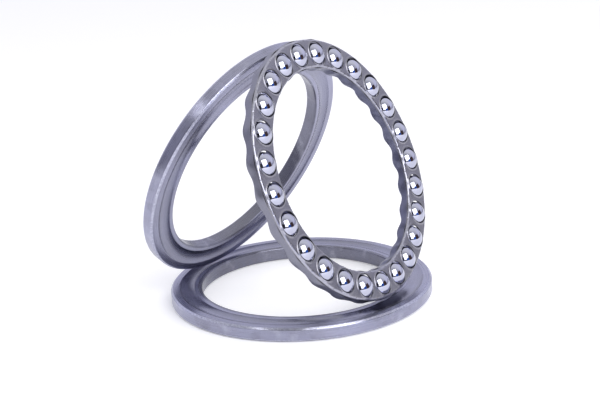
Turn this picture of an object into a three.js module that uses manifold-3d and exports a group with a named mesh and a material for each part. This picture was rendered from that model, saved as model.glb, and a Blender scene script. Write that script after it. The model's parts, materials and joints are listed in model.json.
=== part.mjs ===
// Single-direction thrust ball bearing, nominal 80 x 105 x 19 mm, taken apart and stood on a table:
// the shaft washer lies flat with its raceway up, and the housing washer and the ball-and-cage ring
// stand on it and lean together at the top.
// Millimetres, +Z up. The origin is the middle of the whole group's footprint, on the table.
import * as THREE from "three";
import { mergeVertices } from "three/addons/utils/BufferGeometryUtils.js";
import Module from "manifold-3d";

const wasm = await Module();
wasm.setup();

// ---- driving dimensions ----
const OUTER_RADIUS = 52.5; // both washers, 105 mm across
const SHAFT_BORE_RADIUS = 40; // the shaft washer grips an 80 mm shaft
const HOUSING_BORE_RADIUS = 41; // the housing washer clears that shaft
const WASHER_THICKNESS = 5.4;
const OUTER_CHAMFER = 0.7;
const BORE_CHAMFER = 0.4;

const PITCH_RADIUS = 46; // circle through the ball centres
const BALL_COUNT = 25;
const BALL_RADIUS = 5;
const RACEWAY_RADIUS = 5.6; // section of the groove, a little wider than the ball
const RACEWAY_DEPTH = 0.9;

const CAGE_INNER_RADIUS = 40.4;
const CAGE_OUTER_RADIUS = 51.7;
const CAGE_SHEET = 0.9;
const CAGE_BEND = 1.1; // outside radius of the bends between web and flanges
const WEB_FACE = 2.68; // outer face of the web, above the ball centres
const FLANGE_DEPTH = 4.9; // web face to the flange edge beside a ball
const FLANGE_SCALLOP = 0.8; // how much shorter the flange is between two balls
const POCKET_RADIUS = 5.35; // spherical pocket around each ball

const WASHER_STEPS = 60;
const CAGE_STEPS = 4 * BALL_COUNT;
const GROOVE_STEPS = 6;
const BEND_STEPS = 3;
const BALL_DETAIL = 2;

// Where the two standing pieces are, measured from the centre of the flat washer's seat.
// Heading and rise give the direction that a piece's raceway or web face looks in.
const HOUSING_FACE = new THREE.Vector3(-19.12, 12.41, 51.88); // centre of its raceway face
const HOUSING_HEADING = -38.56;
const HOUSING_RISE = -25.63;
const CAGE_FACE = new THREE.Vector3(19.07, -16.08, 55.29); // centre of its web face
const CAGE_HEADING = -33.75;
const CAGE_RISE = 22.84;
const CAGE_TURN = 162.63; // angle of ball_01 about the cage's axis

// ---- helpers ----
function closedLathe(points, steps) {
  const geometry = new THREE.LatheGeometry([...points, points[0]], steps);
  return weld(geometry.rotateX(Math.PI / 2));
}

function weld(geometry) {
  geometry.deleteAttribute("normal");
  geometry.deleteAttribute("uv");
  return mergeVertices(geometry, 1e-4);
}

function arc(centreX, centreY, radius, fromDegrees, toDegrees, steps) {
  const points = [];
  for (let i = 0; i <= steps; i++) {
    const angle = THREE.MathUtils.degToRad(fromDegrees + ((toDegrees - fromDegrees) * i) / steps);
    points.push(new THREE.Vector2(centreX + radius * Math.cos(angle), centreY + radius * Math.sin(angle)));
  }
  return points;
}

function toSolid(geometry) {
  const vertProperties = new Float32Array(geometry.attributes.position.array);
  const triVerts = new Uint32Array(geometry.index.array);
  return new wasm.Manifold(new wasm.Mesh({ numProp: 3, vertProperties, triVerts }));
}

function toGeometry(solid) {
  const mesh = solid.getMesh();
  const geometry = new THREE.BufferGeometry();
  geometry.setAttribute("position", new THREE.BufferAttribute(new Float32Array(mesh.vertProperties), 3));
  geometry.setIndex(new THREE.BufferAttribute(new Uint32Array(mesh.triVerts), 1));
  return geometry;
}

function named(name, geometry, material) {
  const mesh = new THREE.Mesh(geometry, material);
  mesh.name = name;
  geometry.computeVertexNormals();
  return mesh;
}

// A frame whose +Z looks in the given direction, with +X level before it is turned about +Z.
function standingFrame(headingDegrees, riseDegrees, turnDegrees) {
  const heading = THREE.MathUtils.degToRad(headingDegrees);
  const rise = THREE.MathUtils.degToRad(riseDegrees);
  const face = new THREE.Vector3(
    Math.cos(rise) * Math.cos(heading),
    Math.cos(rise) * Math.sin(heading),
    Math.sin(rise),
  );
  const level = new THREE.Vector3(0, 0, 1).cross(face).normalize();
  const up = face.clone().cross(level);
  const turned = new THREE.Matrix4().makeRotationZ(THREE.MathUtils.degToRad(turnDegrees));
  return new THREE.Matrix4().makeBasis(level, up, face).multiply(turned);
}

// ---- washers: seat face at z = 0, raceway face at z = WASHER_THICKNESS ----
function washerGeometry(boreRadius) {
  const top = WASHER_THICKNESS;
  const grooveCentre = top - RACEWAY_DEPTH + RACEWAY_RADIUS;
  const grooveEdge = THREE.MathUtils.radToDeg(Math.acos((grooveCentre - top) / RACEWAY_RADIUS));
  const section = [
    new THREE.Vector2(boreRadius + BORE_CHAMFER, 0),
    new THREE.Vector2(OUTER_RADIUS - OUTER_CHAMFER, 0),
    new THREE.Vector2(OUTER_RADIUS, OUTER_CHAMFER),
    new THREE.Vector2(OUTER_RADIUS, top - OUTER_CHAMFER),
    new THREE.Vector2(OUTER_RADIUS - OUTER_CHAMFER, top),
    ...arc(PITCH_RADIUS, grooveCentre, RACEWAY_RADIUS, -90 + grooveEdge, -90 - grooveEdge, GROOVE_STEPS),
    new THREE.Vector2(boreRadius + BORE_CHAMFER, top),
    new THREE.Vector2(boreRadius, top - BORE_CHAMFER),
    new THREE.Vector2(boreRadius, BORE_CHAMFER),
  ];
  return closedLathe(section, WASHER_STEPS);
}

// ---- cage: a pressed channel, open at the back, with a spherical pocket for each ball ----
// Its z = 0 is the plane of the ball centres.
function cageGeometry() {
  const edge = WEB_FACE - FLANGE_DEPTH;
  const bendTop = WEB_FACE - CAGE_BEND;
  const under = WEB_FACE - CAGE_SHEET;
  const section = [
    new THREE.Vector2(CAGE_OUTER_RADIUS, edge),
    ...arc(CAGE_OUTER_RADIUS - CAGE_BEND, bendTop, CAGE_BEND, 0, 90, BEND_STEPS),
    ...arc(CAGE_INNER_RADIUS + CAGE_BEND, bendTop, CAGE_BEND, 90, 180, BEND_STEPS),
    new THREE.Vector2(CAGE_INNER_RADIUS, edge),
    new THREE.Vector2(CAGE_INNER_RADIUS + CAGE_SHEET, edge),
    new THREE.Vector2(CAGE_INNER_RADIUS + CAGE_SHEET, under),
    new THREE.Vector2(CAGE_OUTER_RADIUS - CAGE_SHEET, under),
    new THREE.Vector2(CAGE_OUTER_RADIUS - CAGE_SHEET, edge),
  ];
  const channel = closedLathe(section, CAGE_STEPS);
  scallopFlanges(channel, edge);
  let cage = toSolid(channel);
  for (let i = 0; i < BALL_COUNT; i++) {
    const pocket = weld(new THREE.IcosahedronGeometry(POCKET_RADIUS, BALL_DETAIL));
    const centre = ballCentre(i);
    cage = cage.subtract(toSolid(pocket.translate(centre.x, centre.y, centre.z)));
  }
  return toGeometry(cage);
}

// The flange edges are deepest beside each ball and rise halfway between two balls.
function scallopFlanges(geometry, edge) {
  const position = geometry.attributes.position;
  for (let i = 0; i < position.count; i++) {
    if (position.getZ(i) > edge + 0.01) continue;
    const angle = Math.atan2(position.getY(i), position.getX(i));
    const between = (1 - Math.cos(BALL_COUNT * angle)) / 2;
    position.setZ(i, edge + FLANGE_SCALLOP * between);
  }
}

function ballCentre(i) {
  const angle = (2 * Math.PI * i) / BALL_COUNT;
  return new THREE.Vector3(PITCH_RADIUS * Math.cos(angle), PITCH_RADIUS * Math.sin(angle), 0);
}

// ---- materials ----
const groundSteel = new THREE.MeshStandardMaterial({ color: 0xa4a5bb, roughness: 0.32, metalness: 1 });
const pressedSteel = new THREE.MeshStandardMaterial({ color: 0x8e8c96, roughness: 0.42, metalness: 1 });
const polishedSteel = new THREE.MeshStandardMaterial({ color: 0xc3c5d6, roughness: 0.06, metalness: 1 });

// ---- the group as it stands ----
const group = new THREE.Group();

group.add(named("shaft_washer", washerGeometry(SHAFT_BORE_RADIUS), groundSteel.clone()));

const housingStand = new THREE.Group();
const housingFrame = standingFrame(HOUSING_HEADING, HOUSING_RISE, 0);
housingStand.quaternion.setFromRotationMatrix(housingFrame);
housingStand.position.set(0, 0, -WASHER_THICKNESS).applyMatrix4(housingFrame).add(HOUSING_FACE);
housingStand.add(named("housing_washer", washerGeometry(HOUSING_BORE_RADIUS), groundSteel.clone()));
group.add(housingStand);

const cageStand = new THREE.Group();
const cageFrame = standingFrame(CAGE_HEADING, CAGE_RISE, CAGE_TURN);
cageStand.quaternion.setFromRotationMatrix(cageFrame);
cageStand.position.set(0, 0, -WEB_FACE).applyMatrix4(cageFrame).add(CAGE_FACE);
cageStand.add(named("cage", cageGeometry(), pressedSteel.clone()));
for (let i = 0; i < BALL_COUNT; i++) {
  const ball = new THREE.IcosahedronGeometry(BALL_RADIUS, BALL_DETAIL);
  const mesh = named(`ball_${String(i + 1).padStart(2, "0")}`, weld(ball), polishedSteel.clone());
  mesh.position.copy(ballCentre(i));
  cageStand.add(mesh);
}
group.add(cageStand);

// Put the origin under the middle of the group's box.
const box = new THREE.Box3().setFromObject(group, true);
const middle = box.getCenter(new THREE.Vector3());
group.position.set(-middle.x, -middle.y, -box.min.z);
group.updateMatrixWorld(true);

export default group;
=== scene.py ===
# The looks of the thrust ball bearing: ground washers, a pressed-steel cage and polished balls,
# standing as the CAD frame has them, on a pale floor in soft light.
import json
import math

import bmesh
import bpy
from mathutils import Matrix, Vector


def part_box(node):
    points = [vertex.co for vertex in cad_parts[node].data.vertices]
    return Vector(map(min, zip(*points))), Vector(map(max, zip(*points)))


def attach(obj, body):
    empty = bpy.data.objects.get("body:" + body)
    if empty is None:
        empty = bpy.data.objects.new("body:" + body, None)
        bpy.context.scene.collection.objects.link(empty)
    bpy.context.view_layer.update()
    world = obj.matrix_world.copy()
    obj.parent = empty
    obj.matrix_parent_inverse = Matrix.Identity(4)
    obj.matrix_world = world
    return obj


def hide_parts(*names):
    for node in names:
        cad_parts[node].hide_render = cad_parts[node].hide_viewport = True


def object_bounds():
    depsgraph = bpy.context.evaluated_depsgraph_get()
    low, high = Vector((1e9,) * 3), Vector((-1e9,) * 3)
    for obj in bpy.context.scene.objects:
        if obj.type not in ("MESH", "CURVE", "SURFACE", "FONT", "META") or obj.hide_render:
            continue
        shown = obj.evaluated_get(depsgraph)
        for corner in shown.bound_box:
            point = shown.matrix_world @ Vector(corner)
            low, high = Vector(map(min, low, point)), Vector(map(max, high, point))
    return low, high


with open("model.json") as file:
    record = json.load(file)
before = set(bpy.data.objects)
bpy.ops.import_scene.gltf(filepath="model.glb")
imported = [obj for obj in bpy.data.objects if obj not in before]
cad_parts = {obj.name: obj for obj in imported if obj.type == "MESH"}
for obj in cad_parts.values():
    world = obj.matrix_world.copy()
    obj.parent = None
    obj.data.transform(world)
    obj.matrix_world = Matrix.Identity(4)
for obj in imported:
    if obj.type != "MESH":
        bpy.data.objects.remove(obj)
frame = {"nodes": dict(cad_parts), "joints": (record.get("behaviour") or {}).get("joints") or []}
cad_low, cad_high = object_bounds()

MM = 0.001
UP = Vector((0, 0, 1))
SHARP_ANGLE = 35
MERGE_DISTANCE = 0.5e-6
TINY = 1e-6

# ---- camera, in metres and degrees; the lens and the sensor in mm ----
CAMERA_TARGET = Vector((0.0048, 0.0126, 0.0349))
CAMERA_DISTANCE = 0.546
CAMERA_ELEVATION = 16.96
CAMERA_ROLL = -3.11
CAMERA_LENS = 80.84
SENSOR_WIDTH = 36.0

# ---- washers, in mm; heights are from the seat face ----
WASHER_STEPS = 240
WASHER_RADIUS = 52.5
WASHER_THICKNESS = 5.4
PITCH_RADIUS = 46.0
RACEWAY_RADIUS = 5.6
RACEWAY_DEPTH = 0.9
RACEWAY_STEPS = 22
OUTER_CHAMFER = 0.75
BORE_CHAMFER = 0.45
EDGE_ROUND = 0.14
EDGE_STEPS = 4

# ---- cage, in mm; heights are from the plane of the ball centres ----
BALL_COUNT = 25
BALL_RADIUS = 5.0
BALL_DETAIL = 4
BALL_SAG = 0.24
CAGE_BORE_RADIUS = 40.4
CAGE_RADIUS = 51.7
SHEET = 0.8
BEND = 0.9
WEB_FACE = 2.68
HOLE_RADIUS = 4.62
HOLE_WIDENING = 0.02
HOLE_WALL_STEPS = 3
LIP_HEIGHT = 0.34
LIP_CREST = 4.9
LIP_SPREAD = 0.3
LIP_THICKNESS = 0.3
BALL_ROOM = 5.6
RECESS_EDGE = 0.28
RECESS_MARGIN = 0.05
RECESS_LEVEL = WEB_FACE - SHEET / 2
# the flanges: deepest beside a ball, where they also swell outwards and curl in again at the edge
FLANGE_DEPTH = 5.0
FLANGE_SCALLOP = 1.15
BULGE = 0.52
BULGE_REACH = 2.2
BULGE_SHARPNESS = 4
CURL = 0.12
CURL_START = -0.6
CURL_LENGTH = 1.6
CURL_POWER = 1.5
CURL_BETWEEN_BALLS = 0.35
FLANGE_OUTSIDE_STEPS = 9
FLANGE_RIM_STEPS = 5
FLANGE_INSIDE_STEPS = 7
# points round one ball's share of the web, and the rings of points from its hole to its border
ARC_COLUMNS = 16
SIDE_COLUMNS = 14
TOP_SHARES = (0, 0.025, 0.06, 0.1, 0.16, 0.23, 0.31, 0.4, 0.5, 0.6, 0.7, 0.8, 0.88, 0.94, 0.98, 1)
UNDER_SHARES = (0, 0.08, 0.18, 0.3, 0.5, 0.75, 1)

# ---- places that the finishes and the painted highlights and shade change at, in mm ----
BORE_EDGE = 41.6
RIM_EDGE = 52.45
FRONT_CHAMFER = WASHER_RADIUS + WASHER_THICKNESS - OUTER_CHAMFER
REAR_CHAMFER = WASHER_RADIUS - OUTER_CHAMFER
BEND_MIDDLE = 0.59 * BEND
OUTER_BEND = CAGE_RADIUS + WEB_FACE - BEND_MIDDLE
INNER_BEND = CAGE_BORE_RADIUS - WEB_FACE + BEND_MIDDLE

# ---- colours, linear ----
STEEL = (0.33, 0.335, 0.445)
STEEL_DARK_LINE, STEEL_LIGHT_LINE = (0.285, 0.29, 0.39), (0.38, 0.385, 0.515)
STEEL_CLOUD = (0.27, 0.265, 0.33)
# painted shade for the bore and the raceway groove
PAINTED_BORE_AND_RACEWAY_SHADE = (0.12, 0.12, 0.14)
LIGHT_MARK, DARK_MARK = (0.62, 0.63, 0.74), (0.14, 0.14, 0.17)
# painted highlight on the outer chamfers
PAINTED_CHAMFER_HIGHLIGHT = (0.56, 0.57, 0.68)
STAIN = (0.17, 0.145, 0.14)
PRESSED = (0.27, 0.266, 0.30)
PRESSED_DARK_GRAIN, PRESSED_LIGHT_GRAIN = (0.225, 0.222, 0.25), (0.315, 0.31, 0.35)
PRESSED_CLOUD = (0.25, 0.25, 0.31)
# painted shade on the flanges
PAINTED_FLANGE_SHADE, PAINTED_INNER_FLANGE_SHADE = (0.20, 0.205, 0.27), (0.145, 0.15, 0.225)
# painted highlight along the cage's bends
PAINTED_BEND_HIGHLIGHT = (0.62, 0.63, 0.76)
# painted shade in the ball holes and under the web round them
PAINTED_HOLE_SHADE = (0.02, 0.02, 0.024)
MIRROR = (0.48, 0.49, 0.60)
MIRROR_DARK, MIRROR_LIGHT = (0.45, 0.46, 0.565), (0.51, 0.52, 0.635)
FLOOR_COLOR = (0.93, 0.93, 0.94)

# ---- studio, in metres, degrees and watts ----
LIGHT_CENTRE = Vector((0, 0, 0.05))
FLOOR_HALF = 4.0
FLOOR_DROP = 0.0002
FLOOR_ROUGHNESS = 0.7
FLOOR_GLOW = 0.22
CARD_ROUGHNESS = 0.8
# the camera's side of the room is darker than the far side
FRONT_SHADE = 0.42
FRONT_FROM, FRONT_TO = -0.5, 0.2
# (share of the way from straight down to straight up, colour)
WORLD_STOPS = (
    (0.0, (0.60, 0.60, 0.68)),
    (1.0, (0.58, 0.58, 0.68)),
    (0.47, (0.38, 0.38, 0.43)),
    (0.56, (0.62, 0.62, 0.72)),
    (0.64, (0.92, 0.92, 1.08)),
)
# (name, heading, rise, distance, width, height, power)
SOFTBOXES = (
    ("window", 148, 36, 0.9, 0.62, 0.86, 6.2),
    ("lamp_left", 228, 50, 1.0, 0.12, 0.22, 0.45),
)
# (name, heading, rise, distance, width, height, colour)
CARDS = (
    ("camera_card", 184, 12, 0.62, 0.30, 0.40, (0.01, 0.01, 0.012)),
    ("blue_card", 133, 9, 0.68, 0.26, 0.24, (0.01, 0.10, 0.42)),
    ("red_card", 106, 10, 0.7, 0.36, 0.44, (0.055, 0.026, 0.022)),
)


# ---------------------------------------------------------------- frames from the CAD joints
def joint(name):
    return next(j for j in frame["joints"] if j["name"] == name)


def face_frame(origin, axis, toward=None):
    """A matrix at origin with +Z along axis and +X towards a point, or level."""
    z = Vector(axis).normalized()
    x = UP.cross(z) if toward is None else Vector(toward) - Vector(origin)
    if x.length < TINY:
        x = Vector((1, 0, 0))
    x = (x - z * x.dot(z)).normalized()
    y = z.cross(x)
    turned = Matrix((x, y, z)).transposed().to_4x4()
    return Matrix.Translation(Vector(origin)) @ turned


def ring_size(node, place):
    """(bore radius, outer radius, top) of a CAD ring in mm, seen in its own frame."""
    back = place.inverted()
    points = [back @ v.co for v in frame["nodes"][node].data.vertices]
    radii = [math.hypot(p.x, p.y) for p in points]
    return min(radii) / MM, max(radii) / MM, max(p.z for p in points) / MM


shaft_low, shaft_high = (Vector(c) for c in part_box("shaft_washer"))
shaft_middle = (shaft_low + shaft_high) / 2
SHAFT_PLACE = face_frame((shaft_middle.x, shaft_middle.y, shaft_low.z), UP)
housing_joint = joint("housing_washer_spin")
HOUSING_PLACE = face_frame(housing_joint["pos_m"], -Vector(housing_joint["axis"]))
cage_joint = joint("cage_spin")
CAGE_PLACE = face_frame(cage_joint["pos_m"], cage_joint["axis"], joint("ball_01_spin")["pos_m"])


# ---------------------------------------------------------------- mesh helpers
def keep_own_frame(mesh, place):
    """Stores each point's place in its own frame, in mm, and the way round its axis, in the
    row's frame."""
    own = mesh.attributes.new("own_place", "FLOAT_VECTOR", "POINT")
    around = mesh.attributes.new("way_round", "FLOAT_VECTOR", "POINT")
    turned = place.to_3x3()
    for i, vertex in enumerate(mesh.vertices):
        x, y, z = vertex.co / MM
        own.data[i].vector = (x, y, z)
        around.data[i].vector = turned @ Vector((-y, x, 0)).normalized()


def add_piece(name, mesh, place, node, material):
    """Puts a mesh made in its own frame at its place in the row, riding the body that node is."""
    mesh.set_sharp_from_angle(angle=math.radians(SHARP_ANGLE))
    keep_own_frame(mesh, place)
    mesh.transform(place)
    mesh.materials.append(material)
    piece = bpy.data.objects.new(name, mesh)
    bpy.context.scene.collection.objects.link(piece)
    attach(piece, node)
    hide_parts(node)


def smooth_mesh(name, points, faces):
    """A smooth-shaded mesh from points in mm, with the points that coincide joined."""
    mesh = bpy.data.meshes.new(name)
    mesh.from_pydata([Vector(p) * MM for p in points], [], faces)
    solid = bmesh.new()
    solid.from_mesh(mesh)
    bmesh.ops.remove_doubles(solid, verts=solid.verts, dist=MERGE_DISTANCE)
    bmesh.ops.recalc_face_normals(solid, faces=solid.faces)
    solid.to_mesh(mesh)
    solid.free()
    mesh.shade_smooth()
    return mesh


def rounded(corners):
    """A closed outline of the corners, each one marked True rounded off by a small arc."""
    outline = []
    count = len(corners)
    for i, (point, soft) in enumerate(corners):
        if not soft:
            outline.append(point)
            continue
        before, after = Vector(corners[i - 1][0]), Vector(corners[(i + 1) % count][0])
        here = Vector(point)
        start = here + (before - here).normalized() * EDGE_ROUND
        end = here + (after - here).normalized() * EDGE_ROUND
        for k in range(EDGE_STEPS + 1):
            t = k / EDGE_STEPS
            outline.append(tuple(start * (1 - t) ** 2 + here * 2 * t * (1 - t) + end * t * t))
    return outline


def lathe(name, outline, steps):
    """Turns a closed (radius, height) outline round the Z axis."""
    points, faces = [], []
    size = len(outline)
    for i in range(steps):
        angle = 2 * math.pi * i / steps
        points += [(r * math.cos(angle), r * math.sin(angle), z) for r, z in outline]
        after = (i + 1) % steps
        for k in range(size):
            n = (k + 1) % size
            faces.append((i * size + k, after * size + k, after * size + n, i * size + n))
    return smooth_mesh(name, points, faces)


# ---------------------------------------------------------------- washers
def washer_outline(bore, outer, top):
    """A washer's section: flat seat at height 0, chamfers, and the raceway's arc in the top."""
    centre = top - RACEWAY_DEPTH + RACEWAY_RADIUS
    reach = math.sqrt(RACEWAY_RADIUS**2 - (centre - top) ** 2)
    edge = math.asin(reach / RACEWAY_RADIUS)
    corners = [
        ((bore + BORE_CHAMFER, 0), True),
        ((outer - OUTER_CHAMFER, 0), True),
        ((outer, OUTER_CHAMFER), True),
        ((outer, top / 2), False),
        ((outer, top - OUTER_CHAMFER), True),
        ((outer - OUTER_CHAMFER, top), True),
    ]
    for k in range(RACEWAY_STEPS + 1):
        angle = edge * (1 - 2 * k / RACEWAY_STEPS)
        radius = PITCH_RADIUS + RACEWAY_RADIUS * math.sin(angle)
        height = centre - RACEWAY_RADIUS * math.cos(angle)
        corners.append(((radius, height), k in (0, RACEWAY_STEPS)))
    corners += [
        ((bore + BORE_CHAMFER, top), True),
        ((bore, top - BORE_CHAMFER), True),
        ((bore, BORE_CHAMFER), True),
    ]
    return rounded(corners)


def make_washer(node, place, material):
    bore, outer, top = ring_size(node, place)
    mesh = lathe(node + "_ground", washer_outline(bore, outer, top), WASHER_STEPS)
    add_piece(node + "_ground", mesh, place, node, material)


# ---------------------------------------------------------------- cage
def lip_height(distance):
    """How far the pressed collar round a hole stands above the web."""
    return LIP_HEIGHT * math.exp(-(((distance - LIP_CREST) / LIP_SPREAD) ** 2))


def web_top(x, y, inner, outer):
    """Height of the web's face. x is outwards from the ball's centre, and y along the pitch
    circle."""
    radius = math.hypot(PITCH_RADIUS + x, y)
    into_bend = max(radius - (outer - BEND), (inner + BEND) - radius, 0)
    into_bend = min(into_bend, BEND)
    base = WEB_FACE - BEND + math.sqrt(max(BEND**2 - into_bend**2, 0))
    return base + lip_height(math.hypot(x, y))


def web_under(x, y, inner, outer):
    """Height of the web's underside, which rises round the ball."""
    room = math.sqrt(max(BALL_ROOM**2 - x * x - y * y, 0))
    return min(max(WEB_FACE - SHEET, room), web_top(x, y, inner, outer) - LIP_THICKNESS)


def cell_rim(inner, outer):
    """(x, y) points round the border of one ball's share of the ring, from the ball's centre."""
    half = math.pi / BALL_COUNT
    rim = []

    def add(radius, angle):
        rim.append((radius * math.cos(angle) - PITCH_RADIUS, radius * math.sin(angle)))

    for k in range(ARC_COLUMNS):
        add(outer, -half + 2 * half * k / ARC_COLUMNS)
    for k in range(SIDE_COLUMNS):
        add(outer + (inner - outer) * k / SIDE_COLUMNS, half)
    for k in range(ARC_COLUMNS):
        add(inner, half - 2 * half * k / ARC_COLUMNS)
    for k in range(SIDE_COLUMNS):
        add(inner + (outer - inner) * k / SIDE_COLUMNS, -half)
    return rim


def spread(hole, rim_point, share):
    """A point on the way from the hole's edge to a point of the border."""
    distance = math.hypot(*rim_point)
    reach = hole + (distance - hole) * share
    return rim_point[0] * reach / distance, rim_point[1] * reach / distance


def near_ball(angle):
    """1 beside a ball, falling smoothly to 0 towards the gap between two balls."""
    return max(0.0, math.cos(BALL_COUNT * angle / 2)) ** BULGE_SHARPNESS


def flange_wall(wall, sign, angle, offset, z):
    """A point of a flange, offset outwards from the surface of its wall."""
    swell = near_ball(angle)
    push = BULGE * swell * math.exp(-((z / BULGE_REACH) ** 2))
    below = max(0.0, (CURL_START - z) / CURL_LENGTH)
    push -= CURL * below**CURL_POWER * (CURL_BETWEEN_BALLS + (1 - CURL_BETWEEN_BALLS) * swell)
    radius = wall + sign * (offset + push)
    return radius * math.cos(angle), radius * math.sin(angle), z


def flange_strip(wall, sign, angles):
    """Rows of points down the outside of a flange, round its edge and up the inside. sign is 1
    for the outer flange and -1 for the inner one."""
    start = WEB_FACE - BEND
    inside = WEB_FACE - SHEET
    rows = []
    for angle in angles:
        beside = (1 + math.cos(BALL_COUNT * angle)) / 2
        edge = WEB_FACE - FLANGE_DEPTH + FLANGE_SCALLOP * (1 - beside)
        rim_centre = edge + SHEET / 2
        section = []
        for k in range(FLANGE_OUTSIDE_STEPS):
            section.append((0, start + (rim_centre - start) * k / FLANGE_OUTSIDE_STEPS))
        for k in range(FLANGE_RIM_STEPS + 1):
            turn = math.pi * k / FLANGE_RIM_STEPS
            across, down = (math.cos(turn) - 1) * SHEET / 2, math.sin(turn) * SHEET / 2
            section.append((across, rim_centre - down))
        for k in range(1, FLANGE_INSIDE_STEPS + 1):
            section.append((-SHEET, rim_centre + (inside - rim_centre) * k / FLANGE_INSIDE_STEPS))
        rows.append([flange_wall(wall, sign, angle, offset, z) for offset, z in section])
    return rows


def web_rings(rim, hole, shares, height):
    """Rings of points from a hole's edge to the border, at the heights that height gives."""
    rings = []
    for share in shares:
        places = [spread(hole, rim_point, share) for rim_point in rim]
        rings.append([(PITCH_RADIUS + x, y, height(x, y)) for x, y in places])
    return rings


def between(first, second, share):
    """A ring of points part of the way from one ring to another."""
    return [
        tuple(u[c] + (v[c] - u[c]) * share for c in range(3)) for u, v in zip(first, second)
    ]


def cage_cell(inner, outer):
    """Points and faces of one ball's share of the cage, with +X through the ball's centre."""
    points, faces = [], []

    def add_sheet(rows, closed):
        start = len(points)
        size = len(rows[0])
        for row in rows:
            points.extend(row)
        span = size if closed else size - 1
        for i in range(len(rows) - 1):
            for k in range(span):
                n = (k + 1) % size
                a, b = start + i * size, start + (i + 1) * size
                faces.append((a + k, a + n, b + n, b + k))

    top = web_rings(
        cell_rim(inner, outer), HOLE_RADIUS, TOP_SHARES, lambda x, y: web_top(x, y, inner, outer)
    )
    under = web_rings(
        cell_rim(inner + SHEET, outer - SHEET),
        HOLE_RADIUS + HOLE_WIDENING,
        UNDER_SHARES,
        lambda x, y: web_under(x, y, inner, outer),
    )
    add_sheet(top, closed=True)
    add_sheet(under, closed=True)
    hole_wall = [under[0]]
    for k in range(1, HOLE_WALL_STEPS):
        hole_wall.append(between(under[0], top[0], k / HOLE_WALL_STEPS))
    hole_wall.append(top[0])
    add_sheet(hole_wall, closed=True)
    half = math.pi / BALL_COUNT
    angles = [-half + 2 * half * k / ARC_COLUMNS for k in range(ARC_COLUMNS + 1)]
    add_sheet(flange_strip(outer, 1, angles), closed=False)
    add_sheet(flange_strip(inner, -1, angles), closed=False)
    return points, faces


def hole_shade_share(point, inner, outer):
    """How much painted shade a point of the cage gets: 1 inside a ball's hole, 0 in the open."""
    radius = math.hypot(point.x, point.y)
    margin = SHEET + RECESS_MARGIN
    if not inner + margin < radius < outer - margin:
        return 0.0
    step = 2 * math.pi / BALL_COUNT
    turn = round(math.atan2(point.y, point.x) / step) * step
    across, along = PITCH_RADIUS * math.cos(turn), PITCH_RADIUS * math.sin(turn)
    beside = math.hypot(point.x - across, point.y - along) - HOLE_RADIUS
    return 1.0 if point.z < RECESS_LEVEL else max(0.0, 1 - beside / RECESS_EDGE)


def make_cage(material):
    inner, outer, _ = ring_size("cage", CAGE_PLACE)
    cell_points, cell_faces = cage_cell(inner, outer)
    points, faces = [], []
    for i in range(BALL_COUNT):
        turn = Matrix.Rotation(2 * math.pi * i / BALL_COUNT, 3, "Z")
        start = len(points)
        points += [turn @ Vector(p) for p in cell_points]
        faces += [tuple(start + k for k in face) for face in cell_faces]
    mesh = smooth_mesh("cage_pressed", points, faces)
    # painted shade: how much of the near-black painted shade each point round the ball holes gets
    hole_shade = mesh.attributes.new("hole_shade", "FLOAT", "POINT")
    for i, vertex in enumerate(mesh.vertices):
        hole_shade.data[i].value = hole_shade_share(vertex.co / MM, inner, outer)
    add_piece("cage_pressed", mesh, CAGE_PLACE, "cage", material)


# ---------------------------------------------------------------- balls
def ball_turn(i):
    """Any turn will do, as long as the balls' smudges don't all face the same way."""
    return Matrix.Rotation(2.4 * i, 4, Vector((math.sin(i), math.cos(1.7 * i), math.sin(2.3 * i))))


def make_balls(material):
    """The balls hang a little low in their pockets, along the web."""
    web_normal = CAGE_PLACE.to_3x3().col[2]
    down_the_web = (web_normal * UP.dot(web_normal) - UP).normalized()
    sag = down_the_web * BALL_SAG * MM
    mesh = bpy.data.meshes.new("ball_polished")
    sphere = bmesh.new()
    bmesh.ops.create_icosphere(sphere, subdivisions=BALL_DETAIL, radius=BALL_RADIUS * MM)
    sphere.to_mesh(mesh)
    sphere.free()
    mesh.shade_smooth()
    for i in range(1, BALL_COUNT + 1):
        node = f"ball_{i:02d}"
        centre = Vector(joint(node + "_spin")["pos_m"]) + sag
        place = Matrix.Translation(centre) @ ball_turn(i)
        add_piece(node + "_polished", mesh.copy(), place, node, material)


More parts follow.
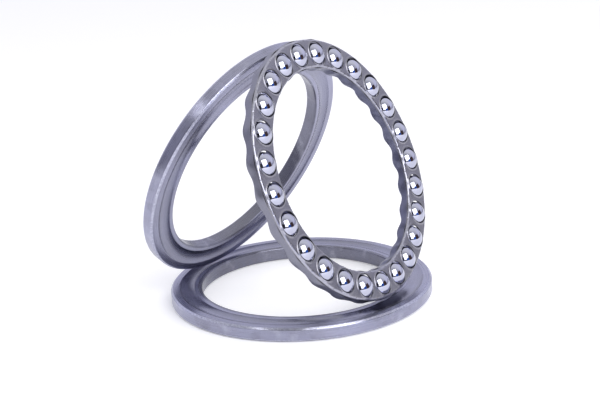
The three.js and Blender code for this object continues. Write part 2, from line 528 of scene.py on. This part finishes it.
# ---------------------------------------------------------------- materials
class Nodes:
    """Short calls for building a material's node tree."""

    def __init__(self, name):
        self.material = bpy.data.materials.new(name)
        self.material.use_nodes = True
        self.tree = self.material.node_tree
        self.shader = self.tree.nodes["Principled BSDF"]

    def new(self, kind, **values):
        node = self.tree.nodes.new(kind)
        for key, value in values.items():
            setattr(node, key, value)
        return node

    def link(self, output, socket):
        self.tree.links.new(output, socket)

    def feed(self, node, values):
        """Sets or links the node's first sockets, and gives its first output."""
        for socket, value in zip(node.inputs, values):
            if isinstance(value, (int, float)):
                socket.default_value = value
            else:
                self.link(value, socket)
        return node.outputs[0]

    def math(self, operation, *values):
        return self.feed(self.new("ShaderNodeMath", operation=operation), values)

    def vector(self, x, y, z):
        return self.feed(self.new("ShaderNodeCombineXYZ"), (x, y, z))

    def noise(self, vector, scale, detail=3.0, roughness=0.55):
        node = self.new("ShaderNodeTexNoise")
        node.inputs["Scale"].default_value = scale
        node.inputs["Detail"].default_value = detail
        node.inputs["Roughness"].default_value = roughness
        self.link(vector, node.inputs["Vector"])
        return node.outputs["Fac"]

    def ramp(self, value, low, high, to_low, to_high):
        """Takes low to to_low and high to to_high, and no further."""
        node = self.new("ShaderNodeMapRange")
        node.inputs["From Min"].default_value = low
        node.inputs["From Max"].default_value = high
        node.inputs["To Min"].default_value = to_low
        node.inputs["To Max"].default_value = to_high
        self.link(value, node.inputs["Value"])
        return node.outputs["Result"]

    def blend(self, factor, first, second):
        node = self.new("ShaderNodeMix", data_type="RGBA")
        self.link(factor, node.inputs["Factor"])
        for socket, value in ((node.inputs[6], first), (node.inputs[7], second)):
            if isinstance(value, tuple):
                socket.default_value = (*value, 1)
            else:
                self.link(value, socket)
        return node.outputs[2]

    def bump(self, height, strength, distance, under=None):
        node = self.new("ShaderNodeBump")
        node.inputs["Strength"].default_value = strength
        node.inputs["Distance"].default_value = distance
        self.link(height, node.inputs["Height"])
        if under is not None:
            self.link(under, node.inputs["Normal"])
        return node.outputs["Normal"]

    def own_place(self):
        return self.new("ShaderNodeAttribute", attribute_name="own_place").outputs["Vector"]

    def ring_place(self):
        """(place in the piece's own frame, radius, height, angle), in mm and radians."""
        position = self.own_place()
        split = self.new("ShaderNodeSeparateXYZ")
        self.link(position, split.inputs[0])
        x, y, z = split.outputs
        across = self.math("ADD", self.math("MULTIPLY", x, x), self.math("MULTIPLY", y, y))
        return position, self.math("SQRT", across), z, self.math("ARCTAN2", y, x)

    def way_round(self):
        around = self.new("ShaderNodeAttribute", attribute_name="way_round").outputs["Vector"]
        turned = self.new("ShaderNodeVectorTransform", vector_type="VECTOR")
        turned.convert_from, turned.convert_to = "OBJECT", "WORLD"
        self.link(around, turned.inputs[0])
        return turned.outputs[0]

    def base(self, color, metallic=1.0):
        self.shader.inputs["Metallic"].default_value = metallic
        self.shader.inputs["Base Color"].default_value = (*color, 1)


def ground_steel():
    n = Nodes("ground_steel")
    n.base(STEEL)
    position, radius, height, angle = n.ring_place()

    def round_ring(finest, angular):
        """A coordinate that changes fast across the ring and slowly along it."""
        scaled = (n.math("MULTIPLY", part, finest) for part in (radius, height))
        return n.vector(*scaled, n.math("MULTIPLY", angle, angular))

    lines = n.noise(round_ring(5.0, 3.0), 1.0, detail=3.0, roughness=0.6)
    bands = n.noise(round_ring(1.0, 0.2), 1.3, detail=2.0)
    cloud = n.noise(position, 0.07, detail=4.0, roughness=0.6)
    specks = n.noise(position, 1.5, detail=4.0, roughness=0.75)
    across_wall = n.vector(0, n.math("MULTIPLY", height, 0.12), n.math("MULTIPLY", angle, 7.0))
    chatter = n.noise(across_wall, 1.0, detail=3.0)
    shade = n.blend(n.ramp(lines, 0.3, 0.7, 0.0, 1.0), STEEL_DARK_LINE, STEEL_LIGHT_LINE)
    shade = n.blend(n.ramp(cloud, 0.4, 0.65, 0.0, 0.45), shade, STEEL_CLOUD)

    # painted shade: the bore and the raceway groove are painted darker where shade falls in them,
    # and the raceway is also ground smoother
    bore = n.ramp(radius, BORE_EDGE - 0.25, BORE_EDGE + 0.25, 0.6, 0.0)
    from_pitch = n.math("ABSOLUTE", n.math("SUBTRACT", radius, PITCH_RADIUS))
    in_raceway = n.ramp(from_pitch, 2.7, 3.15, 1.0, 0.0)
    raceway = n.math("MULTIPLY", in_raceway, n.ramp(height, 4.0, 4.3, 0.0, 0.24))
    shade = n.blend(n.math("MAXIMUM", bore, raceway), shade, PAINTED_BORE_AND_RACEWAY_SHADE)

    # the rim and the bore show light and dark marks from grinding, straight across them
    on_rim = n.ramp(radius, RIM_EDGE - 0.1, RIM_EDGE, 0.0, 1.0)
    walls = n.math("MAXIMUM", on_rim, n.math("MULTIPLY", bore, 1.2))
    light = n.math("MULTIPLY", walls, n.ramp(chatter, 0.56, 0.7, 0.0, 0.3))
    dark = n.math("MULTIPLY", walls, n.ramp(chatter, 0.44, 0.34, 0.0, 0.22))
    shade = n.blend(dark, n.blend(light, shade, LIGHT_MARK), DARK_MARK)

    # painted highlight: the outer chamfers are painted bright in places, for the light they catch
    front = n.ramp(
        n.math("ADD", radius, height), FRONT_CHAMFER - 0.1, FRONT_CHAMFER - 0.03, 0.0, 1.0
    )
    rear = n.ramp(
        n.math("SUBTRACT", radius, height), REAR_CHAMFER - 0.16, REAR_CHAMFER - 0.06, 0.0, 1.0
    )
    chamfer_highlight = n.math(
        "MULTIPLY", n.math("MAXIMUM", front, rear), n.ramp(specks, 0.42, 0.6, 0.15, 0.95)
    )
    shade = n.blend(chamfer_highlight, shade, PAINTED_CHAMFER_HIGHLIGHT)
    shade = n.blend(n.ramp(specks, 0.66, 0.74, 0.0, 0.35), shade, STAIN)
    n.link(shade, n.shader.inputs["Base Color"])

    fine = n.ramp(lines, 0.25, 0.75, 0.24, 0.32)
    rough = n.math("ADD", fine, n.ramp(bands, 0.3, 0.7, -0.02, 0.03))
    rough = n.math("SUBTRACT", rough, n.math("MULTIPLY", raceway, 0.25))
    n.link(rough, n.shader.inputs["Roughness"])
    # highlights stretch across the grinding lines
    n.shader.inputs["Anisotropic"].default_value = 0.8
    n.shader.inputs["Anisotropic Rotation"].default_value = 0.25
    n.link(n.way_round(), n.shader.inputs["Tangent"])
    grooved = n.bump(lines, 0.15, 0.00002)
    n.link(n.bump(specks, 0.3, 0.00006, grooved), n.shader.inputs["Normal"])
    return n.material


def pressed_steel():
    n = Nodes("pressed_steel")
    n.base(PRESSED)
    position, radius, height, _ = n.ring_place()
    grain = n.noise(position, 2.2, detail=5.0, roughness=0.65)
    cloud = n.noise(position, 0.16, detail=3.0)
    shade = n.blend(n.ramp(grain, 0.35, 0.65, 0.0, 1.0), PRESSED_DARK_GRAIN, PRESSED_LIGHT_GRAIN)
    shade = n.blend(n.ramp(cloud, 0.35, 0.65, 0.0, 0.4), shade, PRESSED_CLOUD)

    # painted shade: the flanges are painted bluer and darker than the web, most of all the inner
    # one, for the shade on them
    flange = n.ramp(height, WEB_FACE - 1.3, WEB_FACE - 0.8, 0.55, 0.0)
    inner_flange = n.math("MULTIPLY", flange, n.ramp(radius, 43, 45, 1.6, 0.0))
    shade = n.blend(flange, shade, PAINTED_FLANGE_SHADE)
    shade = n.blend(inner_flange, shade, PAINTED_INNER_FLANGE_SHADE)

    # painted highlight: a bright line is painted along the bends, for the light they catch
    from_outer = n.math("SUBTRACT", n.math("ADD", radius, height), OUTER_BEND)
    from_inner = n.math("SUBTRACT", n.math("SUBTRACT", radius, height), INNER_BEND)
    from_bend = n.math(
        "MINIMUM", n.math("ABSOLUTE", from_outer), n.math("ABSOLUTE", from_inner)
    )
    bend_highlight = n.ramp(from_bend, 0.06, 0.2, 0.4, 0.0)
    bend_highlight = n.math("MULTIPLY", bend_highlight, n.ramp(grain, 0.35, 0.55, 0.55, 1.0))
    shade = n.blend(bend_highlight, shade, PAINTED_BEND_HIGHLIGHT)

    # painted shade: the ball holes and the web's underside round them are painted near black
    hole_shade = n.new("ShaderNodeAttribute", attribute_name="hole_shade").outputs["Fac"]
    n.link(n.blend(hole_shade, shade, PAINTED_HOLE_SHADE), n.shader.inputs["Base Color"])
    n.link(n.ramp(grain, 0.3, 0.7, 0.26, 0.38), n.shader.inputs["Roughness"])
    n.link(n.bump(grain, 0.25, 0.00005), n.shader.inputs["Normal"])
    return n.material


def polished_steel():
    n = Nodes("polished_steel")
    n.base(MIRROR)
    haze = n.noise(n.own_place(), 0.26, detail=4.0, roughness=0.6)
    tone = n.blend(n.ramp(haze, 0.3, 0.7, 0.0, 1.0), MIRROR_DARK, MIRROR_LIGHT)
    n.link(tone, n.shader.inputs["Base Color"])
    n.link(n.ramp(haze, 0.35, 0.65, 0.02, 0.06), n.shader.inputs["Roughness"])
    return n.material


# ---------------------------------------------------------------- floor, light and camera
def plain_material(name, color, roughness, glow=0.0):
    n = Nodes(name)
    n.base(color, metallic=0.0)
    n.shader.inputs["Roughness"].default_value = roughness
    n.shader.inputs["Emission Color"].default_value = (*color, 1)
    n.shader.inputs["Emission Strength"].default_value = glow
    return n.material


def make_sheet(name, width, height, material):
    """A flat rectangle for the studio."""
    x, y = width / 2, height / 2
    mesh = bpy.data.meshes.new(name)
    mesh.from_pydata([(-x, -y, 0), (x, -y, 0), (x, y, 0), (-x, y, 0)], [], [(0, 1, 2, 3)])
    mesh.materials.append(material)
    sheet = bpy.data.objects.new(name, mesh)
    bpy.context.scene.collection.objects.link(sheet)
    return sheet


def make_floor():
    material = plain_material("pale_floor", FLOOR_COLOR, FLOOR_ROUGHNESS, FLOOR_GLOW)
    floor = make_sheet("floor", 2 * FLOOR_HALF, 2 * FLOOR_HALF, material)
    floor.location.z = cad_low[2] - FLOOR_DROP


def facing_bearing(heading, rise, distance):
    """Place and turn of something aimed at the bearing. heading 0 is behind it as the camera
    sees it, 90 to its right and 180 on the camera's side."""
    heading, rise = math.radians(heading), math.radians(rise)
    level = math.cos(rise)
    outward = Vector((math.sin(heading) * level, math.cos(heading) * level, math.sin(rise)))
    return LIGHT_CENTRE + outward * distance, outward.to_track_quat("Z", "Y").to_euler()


def softbox(name, heading, rise, distance, width, height, power):
    light = bpy.data.lights.new(name, "AREA")
    light.shape = "RECTANGLE"
    light.size = width
    light.size_y = height
    light.energy = power
    lamp = bpy.data.objects.new(name, light)
    bpy.context.scene.collection.objects.link(lamp)
    lamp.location, lamp.rotation_euler = facing_bearing(heading, rise, distance)


def card(name, heading, rise, distance, width, height, color):
    """A coloured card the camera does not see, for the balls to mirror."""
    panel = make_sheet(name, width, height, plain_material(name, color, CARD_ROUGHNESS))
    panel.location, panel.rotation_euler = facing_bearing(heading, rise, distance)
    panel.visible_camera = False
    panel.visible_shadow = False
    panel.visible_diffuse = False


def make_world():
    """A room whose brightness changes with height, and is less on the camera's side."""
    world = bpy.data.worlds.new("studio")
    bpy.context.scene.world = world
    world.use_nodes = True
    nodes, link = world.node_tree.nodes, world.node_tree.links.new
    background = nodes["Background"]
    split = nodes.new("ShaderNodeSeparateXYZ")
    link(nodes.new("ShaderNodeTexCoord").outputs["Generated"], split.inputs[0])
    _, along, upward = split.outputs

    height = nodes.new("ShaderNodeMapRange")
    height.inputs["From Min"].default_value = -1
    link(upward, height.inputs["Value"])
    ramp = nodes.new("ShaderNodeValToRGB")
    ramp.color_ramp.interpolation = "EASE"
    link(height.outputs["Result"], ramp.inputs["Fac"])
    stops = ramp.color_ramp.elements
    first, last = stops
    added = [stops.new(0.5) for _ in WORLD_STOPS[2:]]
    for stop, (position, color) in zip((first, last, *added), WORLD_STOPS):
        stop.position = position
        stop.color = (*color, 1)
    link(ramp.outputs["Color"], background.inputs["Color"])

    front = nodes.new("ShaderNodeMapRange")
    for name, value in (
        ("From Min", FRONT_FROM),
        ("From Max", FRONT_TO),
        ("To Min", FRONT_SHADE),
        ("To Max", 1.0),
    ):
        front.inputs[name].default_value = value
    link(along, front.inputs["Value"])
    link(front.outputs["Result"], background.inputs["Strength"])


def make_light():
    make_world()
    for values in SOFTBOXES:
        softbox(*values)
    for values in CARDS:
        card(*values)


def make_camera():
    camera = bpy.data.cameras.new("camera")
    camera.lens = CAMERA_LENS
    camera.sensor_width = SENSOR_WIDTH
    eye = bpy.data.objects.new("camera", camera)
    bpy.context.scene.collection.objects.link(eye)
    rise = math.radians(CAMERA_ELEVATION)
    ahead = Vector((0, math.cos(rise), -math.sin(rise)))
    eye.location = CAMERA_TARGET - ahead * CAMERA_DISTANCE
    level = Vector((1, 0, 0))
    upright = level.cross(ahead)
    facing = Matrix((level, upright, -ahead)).transposed()
    roll = Matrix.Rotation(math.radians(CAMERA_ROLL), 3, -ahead)
    eye.rotation_euler = (roll @ facing).to_euler()
    bpy.context.scene.camera = eye


steel = ground_steel()
make_washer("shaft_washer", SHAFT_PLACE, steel)
make_washer("housing_washer", HOUSING_PLACE, steel)
make_cage(pressed_steel())
make_balls(polished_steel())
make_floor()
make_light()
make_camera()
bpy.context.scene.view_settings.view_transform = "Standard"
